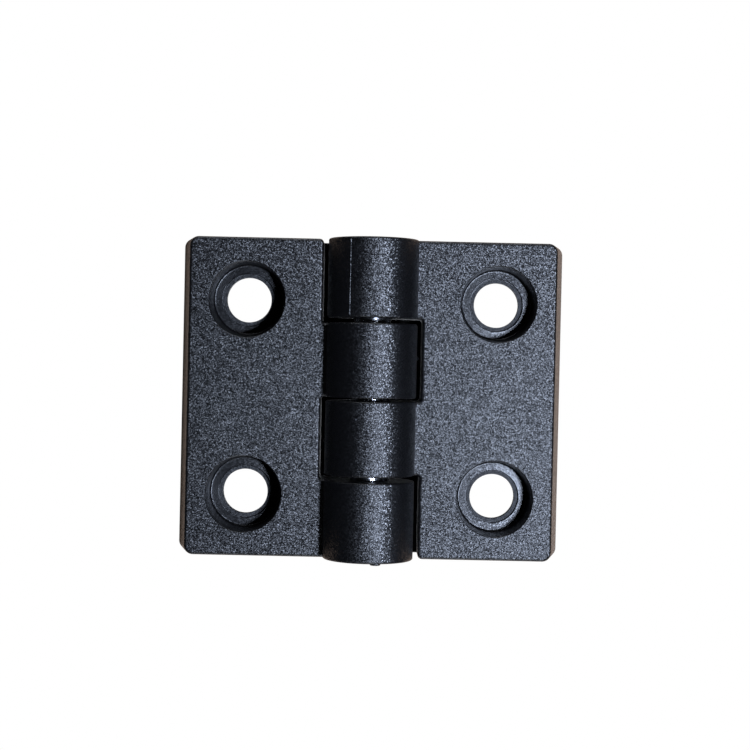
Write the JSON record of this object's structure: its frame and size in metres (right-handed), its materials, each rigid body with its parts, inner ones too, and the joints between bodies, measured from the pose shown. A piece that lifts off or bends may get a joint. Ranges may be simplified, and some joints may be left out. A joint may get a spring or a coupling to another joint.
{
  "type": "butt hinge",
  "caption": "Flat moulded butt hinge: leaves with recessed screw holes turn on a steel pin through an interleaved barrel.",
  "frame": {"origin": "centre of the mounting plane with the hinge laid open and flat, straight under the pin axis at mid length", "axes": "+Z away from the mounting surface, towards the screw-head side; Y along the pin, +Y towards the moving leaf's end knuckle; +X towards the moving leaf"},
  "size_m": [0.051, 0.0422, 0.0119],
  "materials": {
    "moulded_nylon": "black glass-filled nylon, fine spark-eroded mould texture, smooth inside the screw recesses",
    "polished_steel": "drawn and polished steel rod"
  },
  "bodies": {
    "fixed_leaf": {"fixed_leaf": "moulded_nylon", "hinge_pin": "polished_steel"},
    "moving_leaf": {"moving_leaf": "moulded_nylon"}
  },
  "joints": [
    {"name": "leaf_swing", "type": "hinge", "parent": "fixed_leaf", "child": "moving_leaf", "pos_m": [0, 0, 0.006], "axis": [0, -1, 0], "range_deg": [0, 180]}
  ]
}
